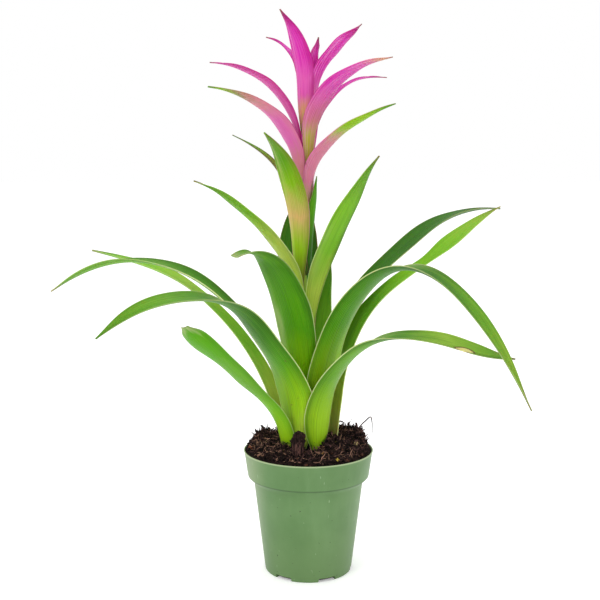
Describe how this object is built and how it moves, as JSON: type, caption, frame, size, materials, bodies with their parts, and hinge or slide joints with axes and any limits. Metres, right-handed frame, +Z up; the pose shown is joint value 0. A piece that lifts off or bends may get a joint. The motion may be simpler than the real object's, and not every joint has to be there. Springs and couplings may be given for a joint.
{
  "type": "potted guzmania",
  "caption": "Flowering bromeliad in a nursery pot: arching strap leaves round a leafy stem topped with pink bracts, rooted in peat.",
  "frame": {"origin": "middle of the pot's flat base, on the surface that the pot stands on", "axes": "+Z up along the pot's axis; -Y towards the viewer of the reference view; +X to that viewer's right"},
  "size_m": [0.4555, 0.3363, 0.5048],
  "materials": {
    "pot_plastic": "matte",
    "peat": "rough, damp",
    "bark": "rough",
    "stem_green": "satin",
    "leaf_green": "satin",
    "bract_green": "satin",
    "bract_pink": "satin"
  },
  "bodies": {
    "root": {"pot": "pot_plastic", "peat": "peat", "bark_chunk": "bark", "stem": "stem_green", "leaf_01": "leaf_green", "leaf_02": "leaf_green", "leaf_03": "leaf_green", "leaf_04": "leaf_green", "leaf_05": "leaf_green", "leaf_06": "leaf_green", "leaf_07": "leaf_green", "leaf_08": "leaf_green", "leaf_09": "leaf_green", "leaf_10": "leaf_green", "leaf_11": "leaf_green", "leaf_12": "leaf_green", "leaf_13": "leaf_green", "stem_leaf_01": "leaf_green", "stem_leaf_02": "leaf_green", "bract_01": "bract_green", "bract_02": "bract_green", "bract_03": "bract_green", "bract_04": "bract_pink", "bract_05": "bract_pink", "bract_06": "bract_pink", "bract_07": "bract_pink", "bract_08": "bract_pink", "bract_09": "bract_pink", "bract_10": "bract_pink", "bract_11": "bract_pink", "bract_12": "bract_pink", "bract_13": "bract_pink", "bract_14": "bract_pink", "bract_15": "bract_pink"}
  },
  "joints": []
}
